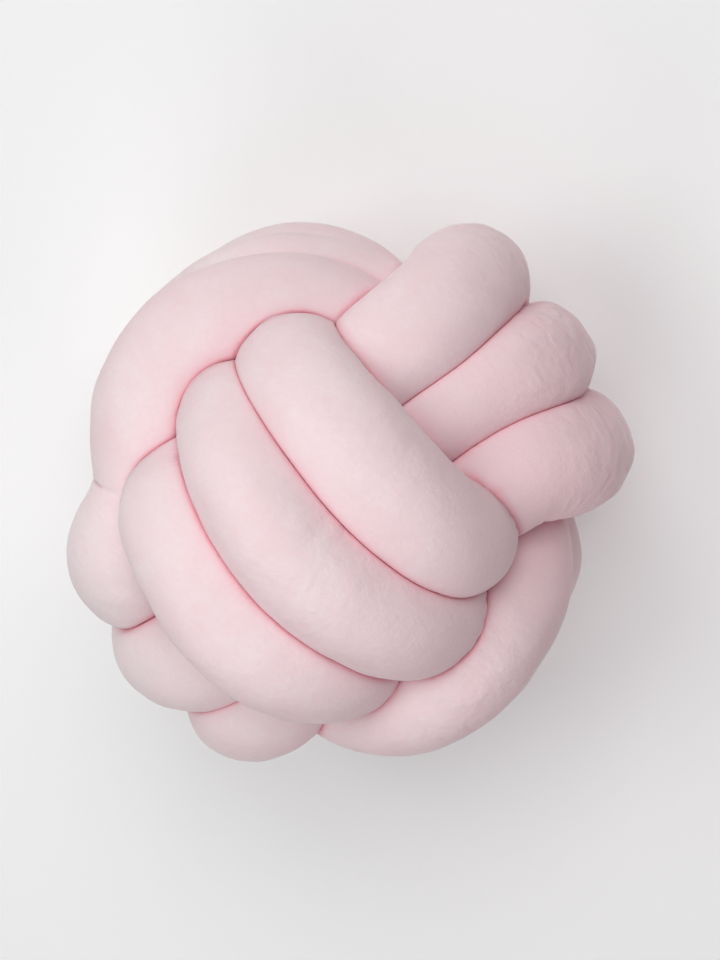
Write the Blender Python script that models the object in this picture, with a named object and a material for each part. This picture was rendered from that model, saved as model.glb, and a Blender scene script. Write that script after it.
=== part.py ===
"""Knot cushion: one stuffed plush tube, tied as a three-by-three ball knot with its ends tucked in.

The ball lies on its back. X runs along the three front strands, Y runs across them towards the
three end strands, and Z is up, out of the front face. The origin is on the surface that the
cushion rests on, under the middle of the ball's box.

The tube is one closed body. Its centre line is worked out from the table PASSES, a row for each
strand that crosses an outer side of the ball, and from the tables TUCKS and BENDS, which say how
one strand leads to the next inside the ball. Each section of the tube is a circle, pressed in where
it meets another strand, and flat where it meets the surface.
"""

import math
from collections import namedtuple

import bmesh
import bpy
import numpy as np
from mathutils.bvhtree import BVHTree

# Driving sizes, in millimetres
TUBE_DIAMETER = 75.0    # stuffed tube, where nothing presses on it
FLAT_DEPTH = 7.0        # how far the back strands are pressed flat by the surface
STRAND_GAP = 1.2        # clear space between two strands that press on each other
HEART_GAP = 5.0         # clear space between strands deep inside the ball
HEART_RADIUS = 115.0    # how far from its middle the ball's inside reaches
LIP = 7.0               # rounding where a strand's free side turns into its pressed side
ARCH_SQUARENESS = 2.35  # 2 is an elliptical arch over the side, more is a squarer one
BEND_SHARE = 0.85       # share of the bend radius that the tube fills inside a tight bend
EASING = 0.08           # share by which a point that cuts into another strand is drawn in
EASING_ROUNDS = 90      # and how often, at most
SECTIONS = 266          # sections along the tube between its round ends
SIDES = 18              # points round a section
END_TURNS = (24, 48, 70)  # degrees round the tube's closed ends, a section at each

X, Y, Z = 0, 1, 2
# A band is three turns of the tube round the ball. Its strands stand out along one axis, run along
# the next and lie side by side along the third.
Band = namedtuple("Band", "out run lane")
BANDS = {
    "girdle": Band(out=X, run=Y, lane=Z),
    "end": Band(out=Y, run=Z, lane=X),
    "face": Band(out=Z, run=X, lane=Y),
}

# One row for each strand, in the order in which the tube makes them. lane is the strand's place
# across its band, where it arrives, at its middle and where it leaves. crown is how far out its
# middle stands, reach how far the arch runs before and after the middle, base how far out the
# arch starts and ends, and shift where its top lies along it. thick is the tube's own thickness.
Pass = namedtuple(
    "Pass",
    "name band side lane_in lane lane_out crown shift reach_in reach_out base_in base_out thick",
)
PASSES = [
    Pass("right_3", "girdle",  1,  -83,  -71,  -45,  129,   30,   76,   66,   75,   56,   72),
    Pass("left_3",  "girdle", -1,  -64,  -81,  -35,  126,   11,   78,   85,   63,   78,   72),
    Pass("right_2", "girdle",  1,  -28,  -17,   -4,  136,  -31,   87,   18,   84,   87,   74),
    Pass("left_2",  "girdle", -1,  -20,  -22,   10,  127,    5,   85,   57,   41,   36,   73),
    Pass("right_1", "girdle",  1,   10,   57,  -13,  124,   -2,   80,   74,   46,   55,   73),
    Pass("left_1",  "girdle", -1,   15,   41,   63,  126,    8,   83,   94,   28,   75,   72),
    Pass("near_1",  "end",    -1,  -63,  -40,  -10,  124,  -19,   94,   54,   75,   37,   74),
    Pass("far_1",   "end",     1,  -18,  -45,  -46,  142,  -19,   90,   49,   87,   79,   75),
    Pass("near_2",  "end",    -1,   28,    1,  -29,  150,   39,   55,   84,   79,   90,   71),
    Pass("far_2",   "end",     1,   28,   17,   -5,  147,  -11,   68,   49,   78,   55,   70),
    Pass("near_3",  "end",    -1,   70,   63,   20,  139,   54,   43,   95,   98,   90,   70),
    Pass("far_3",   "end",     1,   84,   73,   46,  128,   -3,   87,   45,   83,   81,   74),
    Pass("back_1",  "face",   -1,   11,   59,   40,  137,   -3,   86,   57,   85,   72,   79),
    Pass("front_1", "face",    1,   45,   54,   56,  109,  -11,   75,   57,   46,   62,   74),
    Pass("back_2",  "face",   -1,  -19,   -5,   -7,  136,    4,   52,   75,   59,   72,   79),
    Pass("front_2", "face",    1,    5,   -7,   13,  121,   -5,   78,   84,   36,   54,   74),
    Pass("back_3",  "face",   -1,  -40,  -66,  -59,  137,   -2,   96,   72,   86,   85,   79),
    Pass("front_3", "face",    1,  -54,  -64,  -36,  111,   18,   58,   76,   79,   45,   73),
]

# Inside the ball each strand leads to the next through a tuck under the strands of another band,
# at these distances on the same side and band as the strand before it.
Tuck = namedtuple("Tuck", "after run out lane")
TUCKS = [
    Tuck("right_3",   59,   16,  -40),
    Tuck("left_3",    61,    7,  -19),
    Tuck("right_2",   10,   30,   -7),
    Tuck("left_2",    79,  -20,   16),
    Tuck("right_1",   87,   -1,   12),
    Tuck("near_1",    54,    6,  -23),
    Tuck("far_1",     53,    0,  -17),
    Tuck("near_2",    86,  -37,    8),
    Tuck("far_2",     40,   30,    3),
    Tuck("near_3",    75,   -1,   23),
    Tuck("back_1",    45,   15,   43),
    Tuck("front_1",   51,    3,  -22),
    Tuck("back_2",    68,    1,   13),
    Tuck("front_2",   86,    0,  -20),
    Tuck("back_3",    63,  -13,  -21),
]

# The tube starts inside the ball, twice leaves one band for the next, and ends inside the ball,
# at these points measured from the ball's middle. The bend after left_1 is outside, at a corner.
Bend = namedtuple("Bend", "after x y z outside")
BENDS = [
    Bend("left_1",   -98,  -54,   43, True),
    Bend("left_1",   -73,  -75,   44, True),
    Bend("left_1",   -59, -108,   42, True),
    Bend("far_3",     36,   54,   27, False),
    Bend("far_3",     39,   42,   -2, False),
    Bend("front_3",   71,  -41,   23, False),
    Bend("start",     39,  -59,  -60, False),
]


def place(band, side, run, out, lane):
    """The point at these distances on one side of a band, as x, y, z."""
    axes = BANDS[band]
    point = [0.0, 0.0, 0.0]
    point[axes.out] = out * side
    point[axes.run] = run * side
    point[axes.lane] = lane
    return point


def arch(row, first, last):
    """Points of one strand's arch over its side of the ball, for turn angles from first to last."""
    points = []
    for turn in (-90, -58, -28, 0, 28, 58, 90):
        if not first <= turn <= last:
            continue
        angle = math.radians(abs(turn))
        along = math.sin(angle) ** (2 / ARCH_SQUARENESS)
        up = math.cos(angle) ** (2 / ARCH_SQUARENESS) if abs(turn) < 90 else 0.0
        if turn < 0:
            run = row.shift - (row.reach_in + row.shift) * along
            out = row.base_in + (row.crown - row.base_in) * up
            lane = row.lane + (row.lane_in - row.lane) * along**2
        else:
            run = row.shift + (row.reach_out - row.shift) * along
            out = row.base_out + (row.crown - row.base_out) * up
            lane = row.lane + (row.lane_out - row.lane) * along**2
        points.append(place(row.band, row.side, run, out, lane) + [row.thick / 2])
    return points


def knots_of_path():
    """The points that the tube's centre line goes through, each with the tube's radius there."""
    tucks = {row.after: row for row in TUCKS}
    corner = {bend.after for bend in BENDS if bend.outside}
    start = [bend for bend in BENDS if bend.after == "start"]
    points = [[bend.x, bend.y, bend.z, PASSES[0].thick / 2] for bend in start]
    for number, row in enumerate(PASSES):
        previous = PASSES[max(number - 1, 0)]
        following = PASSES[min(number + 1, len(PASSES) - 1)]
        first = 0 if previous.name in corner else -90
        points += arch(row, first, 0 if row.name in corner else 90)
        radius = (row.thick + following.thick) / 4
        if row.name in tucks:
            tuck = tucks[row.name]
            points.append(place(row.band, row.side, tuck.run, tuck.out, tuck.lane) + [radius])
        points += [[bend.x, bend.y, bend.z, radius] for bend in BENDS if bend.after == row.name]
    return np.array(points)


def smooth_curve(points, steps):
    """A smooth curve through the points, as steps samples for each span and the last point."""
    count = len(points)
    span = np.linalg.norm(np.diff(points[:, :3], axis=0), axis=1) ** 0.75
    slope = np.diff(points, axis=0) / span[:, None]
    inner = np.arange(1, count - 1)
    matrix = np.zeros((count, count))
    matrix[inner, inner] = 2 * (span[1:] + span[:-1])
    matrix[inner, inner + 1] = span[:-1]
    matrix[inner, inner - 1] = span[1:]
    matrix[0, :2] = matrix[-1, :-3:-1] = (2, 1)
    right = np.zeros_like(points)
    right[1:-1] = 3 * (span[:-1, None] * slope[1:] + span[1:, None] * slope[:-1])
    right[0], right[-1] = 3 * slope[0], 3 * slope[-1]
    tangent = np.linalg.solve(matrix, right)
    t = np.linspace(0, 1, steps, endpoint=False)[None, :, None]
    here, there = points[:-1, None], points[1:, None]
    leave = (tangent[:-1] * span[:, None])[:, None]
    arrive = (tangent[1:] * span[:, None])[:, None]
    curve = (
        (2 * t**3 - 3 * t**2 + 1) * here
        + (t**3 - 2 * t**2 + t) * leave
        + (3 * t**2 - 2 * t**3) * there
        + (t**3 - t**2) * arrive
    )
    return np.vstack([curve.reshape(-1, points.shape[1]), points[-1:]])


def stations(length, end_radius):
    """Where the sections stand along the tube, and each one's share of the tube's radius."""
    turns = np.radians(END_TURNS)
    at_end = end_radius * (1 - np.cos(turns))
    body = np.linspace(end_radius, length - end_radius, SECTIONS)
    at = np.concatenate([at_end, body, length - at_end[::-1]])
    share = np.concatenate([np.sin(turns), np.ones(SECTIONS), np.sin(turns)[::-1]])
    return at, share


def unit(vectors):
    return vectors / np.linalg.norm(vectors, axis=-1, keepdims=True)


def carried_frames(tangents):
    """Two directions across the tube for each section, carried along it without twist."""
    across = [unit(np.cross(tangents[0], [0.31, 0.17, 0.93]))]
    for tangent in tangents[1:]:
        across.append(unit(across[-1] - tangent * np.dot(across[-1], tangent)))
    across = np.array(across)
    return across, np.cross(tangents, across)


def soft_minimum(a, b, width):
    blend = np.maximum(width - np.abs(a - b), 0) / width
    return np.minimum(a, b) - blend**2 * width / 4


def pressed_reach(spokes, centres, radii, at, others, others_radii, others_at):
    """How far each spoke goes before it meets the wall shared with another strand."""
    reach = np.full(spokes.shape[:2], 1e9)
    for ring, centre in enumerate(centres):
        offset = others - centre
        distance = np.linalg.norm(offset, axis=1)
        apart = np.abs(others_at - at[ring]) > 1.6 * TUBE_DIAMETER
        near = apart & (distance < 1.3 * TUBE_DIAMETER)
        if near.any():
            apart_by = distance[near]
            towards = offset[near] / apart_by[:, None]
            wall = (apart_by**2 + radii[ring] ** 2 - others_radii[near] ** 2) / (2 * apart_by)
            depth = 1 - np.linalg.norm((centre + others[near]) / 2, axis=1) / HEART_RADIUS
            gap = STRAND_GAP + (HEART_GAP - STRAND_GAP) * np.clip(3 * depth, 0, 1)
            facing = spokes[ring] @ towards.T
            limit = np.where(
                facing > 0.05, (wall - gap / 2)[None] / np.maximum(facing, 0.05), 1e9
            )
            reach[ring] = limit.min(1)
    return reach


def tube_sections():
    """The tube's two end points, its section middles and its surface points, in millimetres."""
    curve = smooth_curve(knots_of_path(), 24)
    steps = np.linalg.norm(np.diff(curve[:, :3], axis=0), axis=1)
    length = np.concatenate([[0.0], np.cumsum(steps)])
    at, share = stations(length[-1], TUBE_DIAMETER / 2)
    centres = np.stack([np.interp(at, length, curve[:, k]) for k in range(3)], 1)
    radii = np.interp(at, length, curve[:, 3])
    fine = np.stack([np.interp(np.stack([at - 6, at + 6]), length, curve[:, k]) for k in range(3)], 2)
    tangents = unit(fine[1] - fine[0])
    across, second = carried_frames(tangents)
    bend = np.gradient(tangents, at, axis=0)

    angle = np.linspace(0, 2 * math.pi, SIDES, endpoint=False)[None, :, None]
    spokes = across[:, None] * np.cos(angle) + second[:, None] * np.sin(angle)
    inward = (spokes * bend[:, None]).sum(2)
    bend_limit = np.where(inward > 1e-5, BEND_SHARE / np.maximum(inward, 1e-5), 1e9)
    free = np.broadcast_to((radii * share)[:, None], spokes.shape[:2])
    free = soft_minimum(free, bend_limit, LIP)
    fine_at = np.linspace(0, length[-1], 1300)
    others = np.stack([np.interp(fine_at, length, curve[:, k]) for k in range(4)], 1)
    pressed = pressed_reach(spokes, centres, radii, at, others[:, :3], others[:, 3], fine_at)
    reach = soft_minimum(free, pressed, LIP)
    return curve[[0, -1], :3], centres, centres[:, None] + spokes * reach[..., None]


def settled(ends, centres, sections):
    """The tube set down on z = 0, its lowest strands pressed flat, its box's middle at x = y = 0."""
    low = sections[..., Z].min() + FLAT_DEPTH
    middle = (sections.min((0, 1)) + sections.max((0, 1))) / 2
    drop = np.array([middle[X], middle[Y], low])
    sections = sections - drop
    sections[..., Z] = np.maximum(sections[..., Z], 0.0)
    return ends - drop, centres - drop, sections


def skin():
    """The tube's triangles, as numbers of points: section by section, then the two end points."""
    count = SECTIONS + 2 * len(END_TURNS)
    first, last = count * SIDES, count * SIDES + 1
    triangles = []
    for side in range(SIDES):
        over = (side + 1) % SIDES
        for ring in range(count - 1):
            here, there = ring * SIDES, (ring + 1) * SIDES
            triangles.append((here + side, here + over, there + over))
            triangles.append((here + side, there + over, there + side))
        triangles.append((first, over, side))
        triangles.append((last, last - 1 - SIDES + side, last - 1 - SIDES + over))
    return triangles


def crossing_points(points, triangles):
    """Numbers of the points whose triangles cut through a triangle that they don't touch."""
    tree = BVHTree.FromPolygons(points.tolist(), triangles, all_triangles=True)
    crossing = set()
    for one, two in tree.overlap(tree):
        if one < two and not set(triangles[one]) & set(triangles[two]):
            crossing.update(triangles[one] + triangles[two])
    return sorted(crossing)


def cushion():
    ends, centres, sections = settled(*tube_sections())
    triangles = skin()
    # Strands still cut into each other here and there inside the ball, where the sections are far
    # apart for its tight turns. Such points are drawn towards their section's middle, little by
    # little, until the whole skin is clear of itself.
    middles = np.repeat(centres, SIDES, axis=0)
    points = sections.reshape(-1, 3)
    for _ in range(EASING_ROUNDS):
        crossing = crossing_points(np.vstack([points, ends]), triangles)
        caught = np.array([number for number in crossing if number < len(points)], int)
        if not len(caught):
            break
        points[caught] += EASING * (middles[caught] - points[caught])
    points = np.vstack([points, ends]) / 1000

    mesh = bpy.data.meshes.new("knot_tube")
    shape = bmesh.new()
    vertices = [shape.verts.new(point) for point in points]
    for triangle in triangles:
        shape.faces.new([vertices[number] for number in triangle])
    bmesh.ops.recalc_face_normals(shape, faces=shape.faces[:])
    shape.to_mesh(mesh)
    shape.free()
    mesh.shade_smooth()
    return bpy.data.objects.new("knot_tube", mesh)


def velour():
    material = bpy.data.materials.new("pale_pink_velour")
    material.use_nodes = True
    shader = material.node_tree.nodes["Principled BSDF"]
    shader.inputs["Base Color"].default_value = (0.78, 0.62, 0.64, 1.0)
    shader.inputs["Roughness"].default_value = 0.9
    shader.inputs["Metallic"].default_value = 0.0
    return material


def main():
    for existing in list(bpy.data.objects):
        bpy.data.objects.remove(existing, do_unlink=True)
    collection = bpy.data.collections.new("knot_cushion")
    bpy.context.scene.collection.children.link(collection)
    tube = cushion()
    tube.data.materials.append(velour())
    collection.objects.link(tube)


main()
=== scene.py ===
import math
from collections import namedtuple

import bpy
import numpy as np
from mathutils import Matrix, Vector


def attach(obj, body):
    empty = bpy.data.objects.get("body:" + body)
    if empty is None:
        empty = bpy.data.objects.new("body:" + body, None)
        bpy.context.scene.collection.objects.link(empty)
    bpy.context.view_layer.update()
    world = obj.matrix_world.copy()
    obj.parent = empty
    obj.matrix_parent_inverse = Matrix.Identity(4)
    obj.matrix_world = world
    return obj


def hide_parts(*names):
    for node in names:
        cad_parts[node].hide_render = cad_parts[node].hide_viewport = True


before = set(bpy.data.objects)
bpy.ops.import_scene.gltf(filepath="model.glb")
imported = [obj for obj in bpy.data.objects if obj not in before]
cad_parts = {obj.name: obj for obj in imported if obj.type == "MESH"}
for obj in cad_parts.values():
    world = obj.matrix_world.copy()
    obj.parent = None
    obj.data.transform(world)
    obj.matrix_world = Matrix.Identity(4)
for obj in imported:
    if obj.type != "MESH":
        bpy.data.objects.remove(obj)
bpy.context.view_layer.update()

# ---------------------------------------------------------------- sizes, in millimetres
TUBE_DIAMETER = 75.0    # stuffed tube, where nothing presses on it
FLAT_DEPTH = 7.0        # how far the back strands are pressed flat by the surface
STRAND_GAP = 0.1        # clear space between two strands that press on each other
HEART_GAP = 2.5         # the same, deep inside the ball
HEART_RADIUS = 100.0
LIP = 1.0               # rounding where a strand's free side turns into its pressed side
ARCH_SQUARENESS = 2.35
BEND_SHARE = 0.85
OUTSIDE_STEP = 3.8      # sections along the tube, where it shows
INSIDE_STEP = 12.0      # and inside the ball
SIDES = 72              # points round a section
END_TURNS = (10, 20, 31, 43, 56, 70)
LUMP = 0.55             # how unevenly the filling sits, large
DIMPLE = 0.22           # and small
RUCK = 0.65             # and where the pile is ruffled
PUCKER = 0.8            # cloth gathered across the inside of a bend
PAINTED_LIGHT_LEAN = (0.0031, 0.0021, 0.0)     # painted light and shade across the ball: deeper pink towards +X +Y, paler towards -X -Y, per millimetre
SEAM_VALLEY = 1.0       # how far the lengthwise seam draws the cloth in
SEAM_WIDTH = 3.2
RUFFLE_REACH = 70.0     # how far along a strand its pile is ruffled, each way
RUFFLE_SHIFT = 0.0

X, Y, Z = 0, 1, 2
Band = namedtuple("Band", "out run lane")
BANDS = {
    "girdle": Band(out=X, run=Y, lane=Z),
    "end": Band(out=Y, run=Z, lane=X),
    "face": Band(out=Z, run=X, lane=Y),
}

Pass = namedtuple(
    "Pass",
    "name band side lane_in lane lane_out crown shift reach_in reach_out base_in base_out thick",
)
PASSES = [
    Pass("right_3", "girdle",  1,  -83,  -71,  -45,  129,   30,   76,   66,   75,   56,   72),
    Pass("left_3",  "girdle", -1,  -64,  -81,  -35,  126,   11,   78,   85,   63,   78,   72),
    Pass("right_2", "girdle",  1,  -28,  -17,   -4,  136,  -31,   87,   18,   84,   87,   74),
    Pass("left_2",  "girdle", -1,  -20,  -22,   10,  127,    5,   85,   57,   41,   36,   73),
    Pass("right_1", "girdle",  1,   10,   57,  -13,  124,   -2,   80,   74,   46,   55,   73),
    Pass("left_1",  "girdle", -1,   15,   41,   63,  126,    8,   83,   94,   28,   75,   72),
    Pass("near_1",  "end",    -1,  -63,  -40,  -10,  124,  -19,   94,   54,   75,   37,   74),
    Pass("far_1",   "end",     1,  -18,  -45,  -46,  142,  -19,   90,   49,   87,   79,   75),
    Pass("near_2",  "end",    -1,   28,    1,  -29,  150,   39,   55,   84,   79,   90,   71),
    Pass("far_2",   "end",     1,   28,   17,   -5,  147,  -11,   68,   49,   78,   55,   70),
    Pass("near_3",  "end",    -1,   70,   63,   20,  139,   54,   43,   95,   98,   90,   70),
    Pass("far_3",   "end",     1,   84,   73,   46,  128,   -3,   87,   45,   83,   81,   74),
    Pass("back_1",  "face",   -1,   11,   59,   40,  137,   -3,   86,   57,   85,   72,   79),
    Pass("front_1", "face",    1,   45,   54,   56,  109,  -11,   75,   57,   46,   62,   74),
    Pass("back_2",  "face",   -1,  -19,   -5,   -7,  136,    4,   52,   75,   59,   72,   79),
    Pass("front_2", "face",    1,    5,   -7,   13,  121,   -5,   78,   84,   36,   54,   74),
    Pass("back_3",  "face",   -1,  -40,  -66,  -59,  137,   -2,   96,   72,   86,   85,   79),
    Pass("front_3", "face",    1,  -54,  -64,  -36,  111,   18,   58,   76,   79,   45,   73),
]
Tuck = namedtuple("Tuck", "after run out lane")
TUCKS = [
    Tuck("right_3",   59,   16,  -40),
    Tuck("left_3",    61,    7,  -19),
    Tuck("right_2",   10,   30,   -7),
    Tuck("left_2",    79,  -20,   16),
    Tuck("right_1",   87,   -1,   12),
    Tuck("near_1",    54,    6,  -23),
    Tuck("far_1",     53,    0,  -17),
    Tuck("near_2",    86,  -37,    8),
    Tuck("far_2",     40,   30,    3),
    Tuck("near_3",    75,   -1,   23),
    Tuck("back_1",    45,   15,   43),
    Tuck("front_1",   51,    3,  -22),
    Tuck("back_2",    68,    1,   13),
    Tuck("front_2",   86,    0,  -20),
    Tuck("back_3",    63,  -13,  -21),
]
Bend = namedtuple("Bend", "after x y z outside")
BENDS = [
    Bend("left_1",   -98,  -54,   43, True),
    Bend("left_1",   -73,  -75,   44, True),
    Bend("left_1",   -59, -108,   42, True),
    Bend("far_3",     36,   54,   27, False),
    Bend("far_3",     39,   42,   -2, False),
    Bend("front_3",   71,  -41,   23, False),
    Bend("start",     39,  -59,  -60, False),
]

# Where the lengthwise seam lies on a strand: degrees round the tube from the side that faces the
# middle of the ball. How much the pile is ruffled there, from 0 to 1. And painted light and shade on
# the strand, from -1 (paler, lit) to 1 (deeper pink, shaded).
Cloth = namedtuple("Cloth", "strand seam ruffled nap")
CLOTH = [
    Cloth("right_3",    70, 0.3,  0.0),
    Cloth("left_3",     60, 0.3,  0.1),
    Cloth("right_2",    20, 0.3,  0.0),
    Cloth("left_2",      0, 0.3,  0.0),
    Cloth("right_1",     0, 0.5,  0.0),
    Cloth("left_1",      0, 0.2,  0.7),
    Cloth("near_1",      0, 0.6, -0.3),
    Cloth("far_1",       0, 0.7,  0.2),
    Cloth("near_2",      0, 0.7, -0.3),
    Cloth("far_2",       0, 1.0,  0.5),
    Cloth("near_3",     20, 0.6, -0.3),
    Cloth("far_3",       0, 1.0,  0.4),
    Cloth("back_1",   -100, 0.4,  0.0),
    Cloth("front_1",     0, 0.2,  0.1),
    Cloth("back_2",    -95, 0.4,  0.0),
    Cloth("front_2",     0, 0.3,  0.1),
    Cloth("back_3",   -105, 0.4,  0.0),
    Cloth("front_3",     0, 0.2,  0.1),
]

# ---------------------------------------------------------------- the camera, as the photograph
FOCAL = 2267.0          # pixels, of a frame 720 x 960
DISTANCE = 1.40         # metres from the ball's middle
MIDDLE = (350 - 16.09 - 360, 490 + 1.09 - 480)   # the ball's middle in the frame, pixels from its centre
TURN = (0.0646766, 0.1093898, 0.0121778)         # small turn after the main one, as a rotation vector


def turn_matrix(vector):
    vector = Vector(vector)
    return np.array(Matrix.Rotation(vector.length, 3, vector.normalized()))


def camera_axes():
    """The rotation from the ball's axes to the camera's: x right, y up, z towards the camera."""
    u = np.array([math.cos(math.radians(-50)), math.sin(math.radians(-50)), 0])
    v = np.array([math.cos(math.radians(40)), math.sin(math.radians(40)), 0])
    w = np.array([0, 0, 1.0])
    return turn_matrix(TURN) @ turn_matrix(u * math.radians(17)) @ np.stack([u, v, w], 1)


# ---------------------------------------------------------------- the tube's path
def place(band, side, run, out, lane):
    axes = BANDS[band]
    point = [0.0, 0.0, 0.0]
    point[axes.out] = out * side
    point[axes.run] = run * side
    point[axes.lane] = lane
    return point


def arch(row, first, last):
    points = []
    for turn in (-90, -58, -28, 0, 28, 58, 90):
        if not first <= turn <= last:
            continue
        angle = math.radians(abs(turn))
        along = math.sin(angle) ** (2 / ARCH_SQUARENESS)
        up = math.cos(angle) ** (2 / ARCH_SQUARENESS) if abs(turn) < 90 else 0.0
        if turn < 0:
            run = row.shift - (row.reach_in + row.shift) * along
            out = row.base_in + (row.crown - row.base_in) * up
            lane = row.lane + (row.lane_in - row.lane) * along**2
        else:
            run = row.shift + (row.reach_out - row.shift) * along
            out = row.base_out + (row.crown - row.base_out) * up
            lane = row.lane + (row.lane_out - row.lane) * along**2
        points.append(place(row.band, row.side, run, out, lane) + [row.thick / 2])
    return points


def knots_of_path():
    """The path's points with the radius there, and for each strand the number of its middle point."""
    tucks = {row.after: row for row in TUCKS}
    corner = {bend.after for bend in BENDS if bend.outside}
    points = [[b.x, b.y, b.z, PASSES[0].thick / 2] for b in BENDS if b.after == "start"]
    crowns = {}
    for number, row in enumerate(PASSES):
        previous = PASSES[max(number - 1, 0)]
        following = PASSES[min(number + 1, len(PASSES) - 1)]
        first = 0 if previous.name in corner else -90
        made = arch(row, first, 0 if row.name in corner else 90)
        crowns[row.name] = len(points) + (0 if first == 0 else 3)
        points += made
        radius = (row.thick + following.thick) / 4
        if row.name in tucks:
            tuck = tucks[row.name]
            points.append(place(row.band, row.side, tuck.run, tuck.out, tuck.lane) + [radius])
        points += [[b.x, b.y, b.z, radius] for b in BENDS if b.after == row.name]
    return np.array(points), crowns


def smooth_curve(points, steps):
    count = len(points)
    span = np.linalg.norm(np.diff(points[:, :3], axis=0), axis=1) ** 0.75
    slope = np.diff(points, axis=0) / span[:, None]
    inner = np.arange(1, count - 1)
    matrix = np.zeros((count, count))
    matrix[inner, inner] = 2 * (span[1:] + span[:-1])
    matrix[inner, inner + 1] = span[:-1]
    matrix[inner, inner - 1] = span[1:]
    matrix[0, :2] = matrix[-1, :-3:-1] = (2, 1)
    right = np.zeros_like(points)
    right[1:-1] = 3 * (span[:-1, None] * slope[1:] + span[1:, None] * slope[:-1])
    right[0], right[-1] = 3 * slope[0], 3 * slope[-1]
    tangent = np.linalg.solve(matrix, right)
    t = np.linspace(0, 1, steps, endpoint=False)[None, :, None]
    here, there = points[:-1, None], points[1:, None]
    leave = (tangent[:-1] * span[:, None])[:, None]
    arrive = (tangent[1:] * span[:, None])[:, None]
    curve = (
        (2 * t**3 - 3 * t**2 + 1) * here
        + (t**3 - 2 * t**2 + t) * leave
        + (3 * t**2 - 2 * t**3) * there
        + (t**3 - t**2) * arrive
    )
    return np.vstack([curve.reshape(-1, points.shape[1]), points[-1:]])


def unit(vectors):
    return vectors / np.linalg.norm(vectors, axis=-1, keepdims=True)


def smooth_step(x, low, high):
    t = np.clip((x - low) / (high - low), 0, 1)
    return t * t * (3 - 2 * t)


def soft_minimum(a, b, width):
    blend = np.maximum(width - np.abs(a - b), 0) / width
    return np.minimum(a, b) - blend**2 * width / 4


def soft_noise(points, wavelength, seed, count=26):
    """A smooth random field of about -1 to 1, the sum of seeded waves in all directions."""
    random = np.random.default_rng(seed)
    towards = unit(random.normal(size=(count, 3)))
    pitch = 2 * math.pi / (wavelength * random.uniform(0.7, 1.5, count))
    waves = points @ (towards * pitch[:, None]).T + random.uniform(0, 2 * math.pi, count)
    return np.sin(waves).sum(-1) * math.sqrt(1 / count)


def carried_frames(tangents):
    across = [unit(np.cross(tangents[0], [0.31, 0.17, 0.93]))]
    for tangent in tangents[1:]:
        across.append(unit(across[-1] - tangent * np.dot(across[-1], tangent)))
    across = np.array(across)
    return across, np.cross(tangents, across)


def pressed_reach(spokes, centres, radii, at, others, others_radii, others_at):
    """How far each spoke goes before it meets the wall shared with another strand."""
    reach = np.full(spokes.shape[:2], 1e3)
    for ring, centre in enumerate(centres):
        offset = others - centre
        distance = np.linalg.norm(offset, axis=1)
        near = (np.abs(others_at - at[ring]) > 1.6 * TUBE_DIAMETER) & (distance < 1.3 * TUBE_DIAMETER)
        if near.any():
            apart = distance[near]
            towards = offset[near] / apart[:, None]
            wall = (apart**2 + radii[ring] ** 2 - others_radii[near] ** 2) / (2 * apart)
            depth = 1 - np.linalg.norm((centre + others[near]) / 2, axis=1) / HEART_RADIUS
            gap = STRAND_GAP + (HEART_GAP - STRAND_GAP) * np.clip(3 * depth, 0, 1)
            facing = spokes[ring] @ towards.T
            limit = np.where(facing > 0.05, (wall - gap / 2)[None] / np.maximum(facing, 0.05), 1e3)
            reach[ring] = limit.min(1)
    return reach


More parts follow.
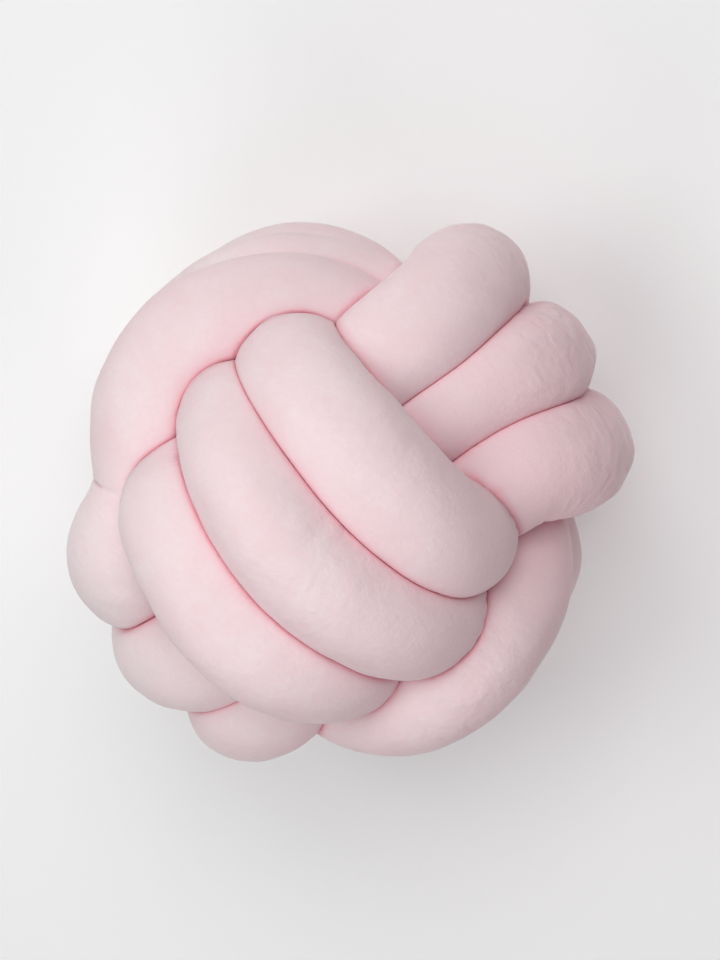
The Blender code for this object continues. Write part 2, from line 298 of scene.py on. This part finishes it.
class Tube:
    """The stuffed tube's sections: where each stands, its frame, and how far its skin reaches."""

    def __init__(self):
        knots, crowns = knots_of_path()
        steps = 24
        curve = smooth_curve(knots, steps)
        walk = np.linalg.norm(np.diff(curve[:, :3], axis=0), axis=1)
        run = np.concatenate([[0.0], np.cumsum(walk)])
        self.length = run[-1]
        self.crown_at = {name: run[number * steps] for name, number in crowns.items()}

        # Sections stand closer where the tube shows than inside the ball.
        out = np.linalg.norm(curve[:, :3], axis=1)
        step = INSIDE_STEP + (OUTSIDE_STEP - INSIDE_STEP) * smooth_step(out, 80, 105)
        pace = np.concatenate([[0.0], np.cumsum(walk * 2 / (step[1:] + step[:-1]))])
        radius = TUBE_DIAMETER / 2
        low, high = np.interp([radius, self.length - radius], run, pace)
        body = np.interp(np.linspace(low, high, int(high - low)), pace, run)
        turns = np.radians(END_TURNS)
        at_end = radius * (1 - np.cos(turns))
        self.at = np.concatenate([at_end, body, self.length - at_end[::-1]])
        share = np.concatenate([np.sin(turns), np.ones(len(body)), np.sin(turns)[::-1]])

        self.centres = np.stack([np.interp(self.at, run, curve[:, k]) for k in range(3)], 1)
        self.radii = np.interp(self.at, run, curve[:, 3])
        ends = np.stack([self.at - 6, self.at + 6])
        fine = np.stack([np.interp(ends, run, curve[:, k]) for k in range(3)], 2)
        self.tangents = unit(fine[1] - fine[0])
        across, second = carried_frames(self.tangents)
        self.bend = np.gradient(self.tangents, self.at, axis=0)
        self.across, self.second = across, second
        self.share = share
        fine_at = np.linspace(0, run[-1], 2200)
        others = np.stack([np.interp(fine_at, run, curve[:, k]) for k in range(4)], 1)
        self.others = (others[:, :3], others[:, 3], fine_at)
        self.ends = curve[[0, -1], :3]
        self.seam = self.seam_angle()
        self.angle = self.spread_angles()
        self.spokes, self.free, self.pressed, self.inward = self.measure(self.angle)
        self.free = self.free + self.unevenness()
        self.reach = soft_minimum(self.free, self.pressed, LIP)

    def seam_angle(self):
        """The seam's angle at each section: set at each strand's middle, and turning evenly between."""
        places, turns = [], []
        for row in CLOTH:
            at = self.crown_at[row.strand]
            ring = int(np.abs(self.at - at).argmin())
            home = -self.centres[ring]
            turn = math.atan2(home @ self.second[ring], home @ self.across[ring]) + math.radians(row.seam)
            if turns:
                turn += 2 * math.pi * round((turns[-1] - turn) / (2 * math.pi))
            places.append(at)
            turns.append(turn)
        return np.interp(self.at, places, turns)

    def ruffled(self):
        """Most near the middle of a strand, where it turns over the edge of the ball."""
        most = np.zeros(len(self.at))
        for row in CLOTH:
            away = np.abs(self.at - self.crown_at[row.strand] - RUFFLE_SHIFT) / RUFFLE_REACH
            most = np.maximum(most, row.ruffled * smooth_step(1 - away, 0.0, 1.0))
        return most

    def nap(self):
        """Painted light and shade, from -1 (paler, lit) to 1 (deeper pink, shaded): set at each strand's
        middle, and changing evenly between.
        """
        return np.interp(self.at, [self.crown_at[row.strand] for row in CLOTH], [row.nap for row in CLOTH])

    def cloth_points(self):
        """Where each point lies on the tube if it were pulled straight."""
        round_tube = TUBE_DIAMETER / 2 * np.stack([np.cos(self.angle), np.sin(self.angle)], 2)
        along = np.broadcast_to(self.at[:, None, None], self.angle.shape + (1,))
        return np.concatenate([round_tube, along], 2)

    def unevenness(self):
        """How the filling, the gathered cloth and the seam move the skin, in millimetres."""
        cloth = self.cloth_points()
        gathered = smooth_step(self.inward * TUBE_DIAMETER / 2, 0.2, 0.7)
        across = soft_noise(cloth * [0.3, 0.3, 1.0], 13.0, 3)
        moved = LUMP * soft_noise(cloth, 55.0, 1) + DIMPLE * soft_noise(cloth, 24.0, 2)
        moved = moved + PUCKER * gathered * (across - 0.4)
        moved = moved + RUCK * self.ruffled()[:, None] * soft_noise(cloth * [0.5, 0.5, 1.0], 14.0, 4)
        off = (self.angle - self.seam[:, None] + math.pi) % (2 * math.pi) - math.pi
        moved -= SEAM_VALLEY * np.exp(-((off * TUBE_DIAMETER / 2 / SEAM_WIDTH) ** 2))
        return moved * self.share[:, None]

    def measure(self, angle):
        """For these angles round each section: the spokes, how far the skin would stand if nothing
        pressed on it, how far it can go before it meets another strand, and how far inside a bend it is."""
        turn = angle[..., None]
        spokes = self.across[:, None] * np.cos(turn) + self.second[:, None] * np.sin(turn)
        inward = (spokes * self.bend[:, None]).sum(2)
        limit = np.where(inward > 1e-5, BEND_SHARE / np.maximum(inward, 1e-5), 1e3)
        free = np.broadcast_to((self.radii * self.share)[:, None], inward.shape)
        free = soft_minimum(free, limit, 8.0)
        pressed = pressed_reach(spokes, self.centres, self.radii, self.at, *self.others)
        return spokes, free, pressed, inward

    def spread_angles(self):
        """The points of each section: close together along the creases, far apart where two strands
        touch and nothing shows, so that the mesh's lines run along each crease."""
        count = 240
        even = np.broadcast_to(np.arange(count) * 2 * math.pi / count, (len(self.at), count))
        _, free, pressed, _ = self.measure(even)
        room = pressed - free
        weight = 0.3 + 0.7 * smooth_step(room, -6, 0) + 1.6 * np.exp(-((room / 3) ** 2))
        for _ in range(6):
            weight = (np.roll(weight, 1, 1) + 2 * weight + np.roll(weight, -1, 1)) / 4
            weight[1:-1] = (weight[:-2] + 2 * weight[1:-1] + weight[2:]) / 4
        total = np.concatenate([np.zeros((len(weight), 1)), np.cumsum(weight, 1)], 1)
        total /= total[:, -1:]
        turns = np.linspace(0, 2 * math.pi, count + 1)
        return np.stack([np.interp(np.arange(SIDES) / SIDES, row, turns) for row in total])

    def points(self):
        return self.centres[:, None] + self.spokes * self.reach[..., None]


def settle(tube, sections):
    low = sections[..., Z].min() + FLAT_DEPTH
    middle = (sections.min((0, 1)) + sections.max((0, 1))) / 2
    return np.array([middle[X], middle[Y], low])


def skin_quads(rings):
    quads = []
    for ring in range(rings - 1):
        for side in range(SIDES):
            over = (side + 1) % SIDES
            here, there = ring * SIDES, (ring + 1) * SIDES
            quads.append((here + side, here + over, there + over, there + side))
    return quads


def point_numbers(mesh, name, values):
    attribute = mesh.attributes.new(name, "FLOAT", "POINT")
    attribute.data.foreach_set("value", np.append(values.reshape(-1), [0, 0]).astype(np.float32))


def unroll(mesh, tube):
    """A UV map of the tube pulled straight, cut into strips that lie one above another."""
    strips = 5
    long = tube.length / strips
    layer = mesh.uv_layers.new(name="OFBake")
    loops = np.zeros(len(mesh.loops), np.int32)
    mesh.loops.foreach_get("vertex_index", loops)
    starts = np.zeros(len(mesh.polygons), np.int32)
    counts = np.zeros(len(mesh.polygons), np.int32)
    mesh.polygons.foreach_get("loop_start", starts)
    mesh.polygons.foreach_get("loop_total", counts)
    turns = tube.angle / (2 * math.pi)
    rings = len(tube.at)
    places = np.zeros((len(loops), 2))
    for start, count in zip(starts, counts):
        corners = loops[start : start + count]
        inner = corners[corners < rings * SIDES]
        ring, side = inner // SIDES, inner % SIDES
        strip = min(int(tube.at[ring.min()] / long), strips - 1)
        wraps = side.max() - side.min() > 1
        for number, corner in enumerate(corners):
            if corner >= rings * SIDES:
                at = 0.0 if corner == rings * SIDES else tube.length
                turn = turns[ring[0], side.min()]
            else:
                row, column = corner // SIDES, corner % SIDES
                at = tube.at[row]
                turn = turns[row, column] + (1.0 if wraps and column == 0 else 0.0)
            places[start + number] = (
                0.005 + 0.985 * (at - strip * long) / long,
                (strip + 0.04 + 0.92 * turn) / strips,
            )
    layer.data.foreach_set("uv", places.reshape(-1).astype(np.float32))


def make_cushion():
    tube = Tube()
    sections = tube.points()
    drop = settle(tube, sections)
    sections = sections - drop
    sections[..., Z] = np.maximum(sections[..., Z], 0.0)
    rings = len(sections)
    ends = tube.ends - drop
    points = np.vstack([sections.reshape(-1, 3), ends]) / 1000
    first, last = rings * SIDES, rings * SIDES + 1
    faces = skin_quads(rings)
    for side in range(SIDES):
        over = (side + 1) % SIDES
        faces.append((first, over, side))
        faces.append((last, (rings - 1) * SIDES + side, (rings - 1) * SIDES + over))
    mesh = bpy.data.meshes.new("velour_tube")
    mesh.from_pydata(points.tolist(), [], faces)
    mesh.validate()
    mesh.shade_smooth()
    unroll(mesh, tube)
    room = np.maximum(tube.pressed - tube.free, 0)
    off = tube.angle - tube.seam[:, None]
    # Painted shade: a thin darker line in each crease and a wider darkening near it, by how close the skin
    # comes to the next strand.
    point_numbers(mesh, "crease", np.exp(-room / 1.8))
    point_numbers(mesh, "shade", np.exp(-room / 8.0))
    point_numbers(mesh, "seam_side", np.cos(off))
    point_numbers(mesh, "seam_off", np.sin(off) * TUBE_DIAMETER / 2 / 1000)
    point_numbers(mesh, "ruffled", np.broadcast_to(tube.ruffled()[:, None], off.shape))
    # Painted light and shade: paler on the lit side, deeper pink on the shaded side, set per strand and
    # leaning across the ball.
    point_numbers(mesh, "nap", tube.nap()[:, None] + sections @ PAINTED_LIGHT_LEAN)
    attribute = mesh.attributes.new("cloth", "FLOAT_VECTOR", "POINT")
    cloth = np.vstack([tube.cloth_points().reshape(-1, 3), np.zeros((2, 3))]) / 1000
    attribute.data.foreach_set("vector", cloth.reshape(-1).astype(np.float32))
    obj = bpy.data.objects.new("velour_tube", mesh)
    bpy.context.scene.collection.objects.link(obj)
    print("TUBE rings", rings, "triangles", 2 * (rings - 1) * SIDES + 2 * SIDES, "length", tube.length)
    return obj, tube, drop


cushion, tube, drop = make_cushion()

PINK = (0.93, 0.745, 0.77)      # the pile, seen square on
PALE_PILE_AND_PAINTED_LIGHT = (0.935, 0.85, 0.858)     # paler pile in brushed patches and streaks, and painted light on the lit side
DEEP_PILE_AND_PAINTED_SHADE = (0.90, 0.63, 0.67)       # deeper pile in brushed patches and grain, and painted shade on the side away from the light
SHADED = (0.86, 0.65, 0.69)     # painted shade near a crease
PAINTED_CREASE_SHADE = (0.88, 0.47, 0.53)    # painted shade in it, a darker line
SEAMED = (0.55, 0.36, 0.40)


# ---------------------------------------------------------------- material
class Nodes:
    """Short names for adding nodes to one material."""

    def __init__(self, name):
        self.material = bpy.data.materials.new(name)
        self.material.use_nodes = True
        self.tree = self.material.node_tree
        self.shader = self.tree.nodes["Principled BSDF"]

    def link(self, source, target):
        self.tree.links.new(source, target)

    def attribute(self, name):
        node = self.tree.nodes.new("ShaderNodeAttribute")
        node.attribute_name = name
        return node

    def math(self, operation, first, second=None, clamp=False):
        node = self.tree.nodes.new("ShaderNodeMath")
        node.operation, node.use_clamp = operation, clamp
        for socket, value in zip(node.inputs, (first, second)):
            if value is None:
                continue
            if isinstance(value, (int, float)):
                socket.default_value = value
            else:
                self.link(value, socket)
        return node.outputs[0]

    def between(self, value, low, high, to_low=0.0, to_high=1.0):
        node = self.tree.nodes.new("ShaderNodeMapRange")
        node.interpolation_type = "SMOOTHSTEP"
        self.link(value, node.inputs["Value"])
        for name, number in (("From Min", low), ("From Max", high), ("To Min", to_low), ("To Max", to_high)):
            node.inputs[name].default_value = number
        return node.outputs["Result"]

    def stretched(self, vector, scale):
        node = self.tree.nodes.new("ShaderNodeVectorMath")
        node.operation = "MULTIPLY"
        self.link(vector, node.inputs[0])
        node.inputs[1].default_value = scale
        return node.outputs["Vector"]

    def noise(self, vector, millimetres, detail=2.0, roughness=0.5, distortion=0.0):
        node = self.tree.nodes.new("ShaderNodeTexNoise")
        self.link(vector, node.inputs["Vector"])
        node.inputs["Scale"].default_value = 1000 / millimetres
        node.inputs["Detail"].default_value = detail
        node.inputs["Roughness"].default_value = roughness
        node.inputs["Distortion"].default_value = distortion
        return node.outputs["Fac"]

    def mix(self, factor, first, second):
        node = self.tree.nodes.new("ShaderNodeMix")
        node.data_type = "RGBA"
        self.link(factor, node.inputs["Factor"])
        for socket, value in ((node.inputs["A"], first), (node.inputs["B"], second)):
            if isinstance(value, tuple):
                socket.default_value = value + (1.0,)
            else:
                self.link(value, socket)
        return node.outputs["Result"]

    def bump(self, height, millimetres, after=None):
        node = self.tree.nodes.new("ShaderNodeBump")
        node.inputs["Distance"].default_value = millimetres / 1000
        self.link(height, node.inputs["Height"])
        if after:
            self.link(after, node.inputs["Normal"])
        return node.outputs["Normal"]


def velour():
    made = Nodes("velour")
    shader = made.shader
    shader.inputs["Specular IOR Level"].default_value = 0.2
    shader.inputs["Sheen Weight"].default_value = 0.30
    shader.inputs["Sheen Roughness"].default_value = 0.30
    shader.inputs["Sheen Tint"].default_value = (0.95, 0.93, 0.93, 1)
    place = made.tree.nodes.new("ShaderNodeTexCoord").outputs["Object"]
    cloth = made.attribute("cloth").outputs["Vector"]
    ruffled = made.attribute("ruffled").outputs["Fac"]

    # Brushed patches: the pile lies another way, so the patch is paler and greyer, or deeper.
    patch = made.noise(place, 38, detail=3, roughness=0.55, distortion=0.6)
    stroke = made.noise(made.stretched(cloth, (0.35, 0.35, 1.0)), 9, detail=3, roughness=0.6, distortion=0.4)
    pile = made.noise(place, 1.5, detail=2, roughness=0.6)
    tuft = made.noise(place, 4.5, detail=2, roughness=0.55)
    pale = made.between(patch, 0.47, 0.66)
    deep = made.between(patch, 0.50, 0.34)
    base = made.mix(made.math("MULTIPLY", pale, 0.3), PINK, PALE_PILE_AND_PAINTED_LIGHT)
    base = made.mix(made.math("MULTIPLY", deep, 0.22), base, DEEP_PILE_AND_PAINTED_SHADE)
    # Painted light and shade: paler where the lamps fall, deeper pink away from them.
    nap = made.attribute("nap").outputs["Fac"]
    base = made.mix(made.between(nap, 0.0, 1.0, 0.0, 0.8), base, DEEP_PILE_AND_PAINTED_SHADE)
    base = made.mix(made.between(nap, 0.0, -1.0, 0.0, 0.8), base, PALE_PILE_AND_PAINTED_LIGHT)
    streaks = made.math("MULTIPLY", made.between(stroke, 0.42, 0.68), made.math("MULTIPLY", ruffled, 0.25))
    base = made.mix(streaks, base, PALE_PILE_AND_PAINTED_LIGHT)
    grain = made.between(made.math("ADD", made.math("MULTIPLY", pile, 0.5), made.math("MULTIPLY", tuft, 0.5)), 0.60, 0.40)
    base = made.mix(made.math("MULTIPLY", grain, 0.18), base, DEEP_PILE_AND_PAINTED_SHADE)

    # Painted shade: deeper pink towards the creases, and a darker line in them.
    shade = made.attribute("shade").outputs["Fac"]
    base = made.mix(made.math("MULTIPLY", shade, 0.40), base, SHADED)
    base = made.mix(made.attribute("crease").outputs["Fac"], base, PAINTED_CREASE_SHADE)

    # The lengthwise seam: a thin dark line with small even stitches.
    off = made.math("ABSOLUTE", made.attribute("seam_off").outputs["Fac"])
    side = made.between(made.attribute("seam_side").outputs["Fac"], 0.2, 0.6)
    line = made.math("MULTIPLY", made.between(off, 0.0009, 0.0003), side)
    valley = made.math("MULTIPLY", made.between(off, 0.0035, 0.0003), side)
    base = made.mix(made.math("MULTIPLY", line, 0.6), base, SEAMED)
    made.link(base, shader.inputs["Base Color"])
    rough = made.between(patch, 0.35, 0.65, 0.80, 0.92)
    made.link(rough, shader.inputs["Roughness"])

    ruck = made.noise(made.stretched(cloth, (0.3, 0.3, 1.0)), 9, detail=1.5, roughness=0.5, distortion=0.9)
    normal = made.bump(made.math("MULTIPLY", ruck, ruffled), 2.2)
    mottle = made.noise(place, 13, detail=1.5, roughness=0.5, distortion=0.5)
    normal = made.bump(made.math("MULTIPLY", mottle, ruffled), 2.4, normal)
    normal = made.bump(tuft, 0.4, normal)
    normal = made.bump(pile, 0.16, normal)
    normal = made.bump(made.math("MULTIPLY", valley, -1.0), 0.8, normal)
    made.link(normal, shader.inputs["Normal"])
    return made.material


cushion.data.materials.append(velour())
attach(cushion, "root")
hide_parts("knot_tube")

# ---------------------------------------------------------------- floor, light, camera
axes = camera_axes()
eye = np.array([MIDDLE[0] / FOCAL * DISTANCE, -MIDDLE[1] / FOCAL * DISTANCE, -DISTANCE])
where = -axes.T @ eye - drop / 1000
camera_data = bpy.data.cameras.new("camera")
camera_data.lens = 85.0
camera_data.sensor_width = 36.0
camera_data.sensor_fit = "AUTO"
camera_data.clip_start, camera_data.clip_end = 0.05, 50
camera = bpy.data.objects.new("camera", camera_data)
bpy.context.scene.collection.objects.link(camera)
pose = np.eye(4)
pose[:3, :3] = axes.T
pose[:3, 3] = where
camera.matrix_world = Matrix(pose.tolist())
bpy.context.scene.camera = camera

floor_mesh = bpy.data.meshes.new("floor")
floor_mesh.from_pydata([(-60, -60, 0), (60, -60, 0), (60, 60, 0), (-60, 60, 0)], [], [(0, 1, 2, 3)])
floor = bpy.data.objects.new("floor", floor_mesh)
bpy.context.scene.collection.objects.link(floor)
paint = bpy.data.materials.new("floor_paint")
paint.use_nodes = True
paint.node_tree.nodes["Principled BSDF"].inputs["Base Color"].default_value = (0.9, 0.9, 0.9, 1)
paint.node_tree.nodes["Principled BSDF"].inputs["Roughness"].default_value = 0.95
paint.node_tree.nodes["Principled BSDF"].inputs["Emission Color"].default_value = (1, 1, 1, 1)
paint.node_tree.nodes["Principled BSDF"].inputs["Emission Strength"].default_value = 0.10
floor.data.materials.append(paint)


def area_light(name, direction, distance, size, power, colour=(1, 1, 1)):
    """A soft square light, in this direction of the camera's axes from the ball's middle."""
    data = bpy.data.lights.new(name, "AREA")
    data.shape, data.size, data.energy, data.color = "DISK", size, power, colour
    light = bpy.data.objects.new(name, data)
    bpy.context.scene.collection.objects.link(light)
    towards = axes.T @ unit(np.array(direction, float))
    centre = np.array([0, 0, 0.165])
    light.location = centre + towards * distance
    light.rotation_mode = "QUATERNION"
    light.rotation_quaternion = Vector((-towards).tolist()).to_track_quat("-Z", "Y")
    return light


for number, (direction, power, colour) in enumerate([
    ((0.0, 0.30, 0.95), 15.7, (1.0, 0.985, 0.99)),
    ((-0.29, 0.51, 0.81), 7.6, (0.97, 1.0, 0.99)),
    ((0.29, 0.51, 0.81), 2.2, (1.0, 0.95, 0.96)),
    ((-0.59, 0.0, 0.81), 13.9, (0.97, 1.0, 0.995)),
    ((-0.29, -0.51, 0.81), 4.0, (1.0, 1.0, 1.0)),
    ((-0.75, 0.43, 0.50), 1.5, (0.90, 1.0, 0.97)),
    ((-0.36, -0.84, 0.41), 8.6, (1.0, 1.0, 1.0)),
    ((0.46, -0.79, 0.41), 7.4, (1.0, 0.93, 0.96)),
]):
    area_light(f"light_{number}", direction, 2.2, 1.3, power, colour)
world = bpy.data.worlds.new("world")
bpy.context.scene.world = world
world.use_nodes = True
world.node_tree.nodes["Background"].inputs["Color"].default_value = (1, 1, 1, 1)
world.node_tree.nodes["Background"].inputs["Strength"].default_value = 0.02
bpy.context.scene.view_settings.view_transform = "Standard"

bpy.context.view_layer.update()
